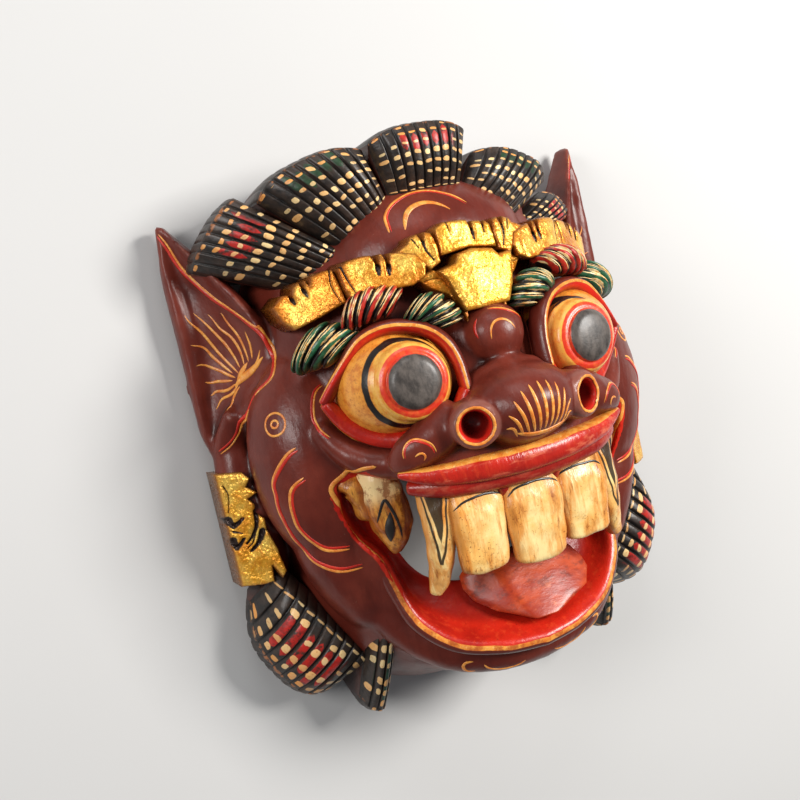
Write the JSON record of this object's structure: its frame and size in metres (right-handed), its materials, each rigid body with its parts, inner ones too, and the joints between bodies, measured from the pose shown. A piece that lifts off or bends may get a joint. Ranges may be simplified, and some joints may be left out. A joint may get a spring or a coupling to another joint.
{
  "type": "carved mask",
  "caption": "Carved and painted wooden guardian-spirit mask with bulging eyes, bared teeth, fangs, tongue, gilded crown leaves and a ruff of striped hair.",
  "frame": {"origin": "middle of the mask's outline, on the flat rim that it lies on", "axes": "+Z out of the face, +Y towards the crown, +X to the right for a viewer who faces the mask"},
  "size_m": [0.1904, 0.2262, 0.11],
  "materials": {
    "painted_wood": "maroon paint with a soft gloss, worn at the edges"
  },
  "bodies": {
    "root": {"mask": "painted_wood"}
  },
  "joints": []
}
